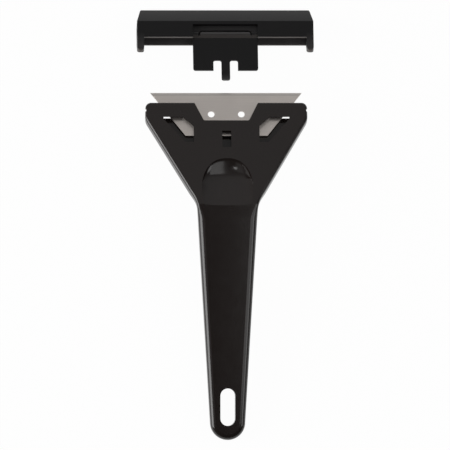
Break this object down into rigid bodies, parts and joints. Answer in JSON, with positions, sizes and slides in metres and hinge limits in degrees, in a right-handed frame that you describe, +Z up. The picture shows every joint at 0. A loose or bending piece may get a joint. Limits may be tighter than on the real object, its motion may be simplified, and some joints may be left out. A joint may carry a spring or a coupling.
{
  "type": "plastic scraper",
  "caption": "Hand scraper: moulded handle with a tilted head, a slide-in trapezoid steel blade and a pull-off blade cap with a latch tongue.",
  "frame": {"origin": "centre of the footprint, on the table that the scraper lies on with its front face up", "axes": "+Y from the shank's end towards the blade and the cap, +Z up out of the front face, +X across the blade"},
  "size_m": [0.071, 0.1758, 0.0243],
  "materials": {
    "handle": "satin black moulding",
    "blade": "ground steel",
    "protective_cap": "matt black moulding"
  },
  "bodies": {
    "handle": {"handle": "handle"},
    "blade": {"blade": "blade"},
    "cap": {"protective_cap": "protective_cap"}
  },
  "joints": [
    {"name": "blade_slide", "type": "slide", "parent": "handle", "child": "blade", "axis": [0, 0.9754, -0.2204], "range_m": [0, 0.016]},
    {"name": "cap_slide", "type": "slide", "parent": "blade", "child": "cap", "axis": [0, -0.9754, 0.2204], "range_m": [0, 0.0286]}
  ]
}
